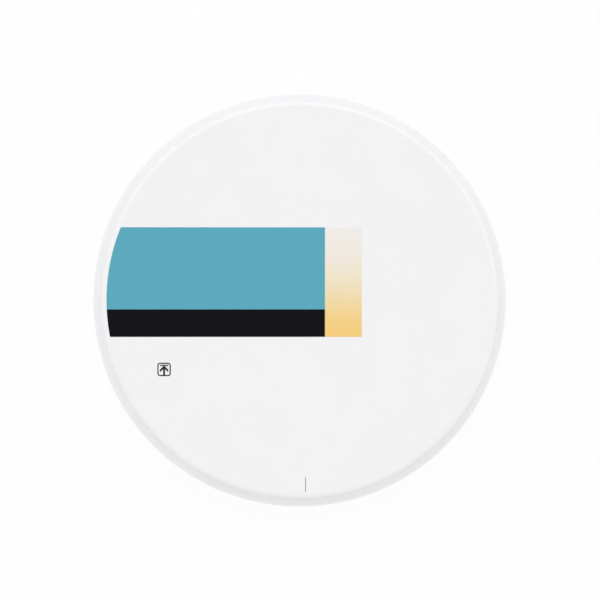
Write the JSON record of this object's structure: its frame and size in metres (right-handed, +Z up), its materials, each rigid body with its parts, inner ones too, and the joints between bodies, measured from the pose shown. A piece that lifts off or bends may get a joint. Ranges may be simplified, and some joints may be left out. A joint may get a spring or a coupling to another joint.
{
  "type": "dental milling disc",
  "caption": "Round stepped zirconia blank with a clamping collar round its middle, raised flat faces above and below it, and a printed colour band on top.",
  "frame": {"origin": "centre of the flat underside, on which the disc lies", "axes": "+Z up along the axis of the disc, out of the printed face; +Y towards the top of the print; +X to the right of it"},
  "size_m": [0.0984, 0.0985, 0.02],
  "materials": {
    "zirconia": "matte",
    "ink_teal": "matte",
    "ink_black": "matte",
    "ink_gold": "matte",
    "ink_grey": "matte"
  },
  "bodies": {
    "root": {"milling_blank": "zirconia"}
  },
  "joints": []
}
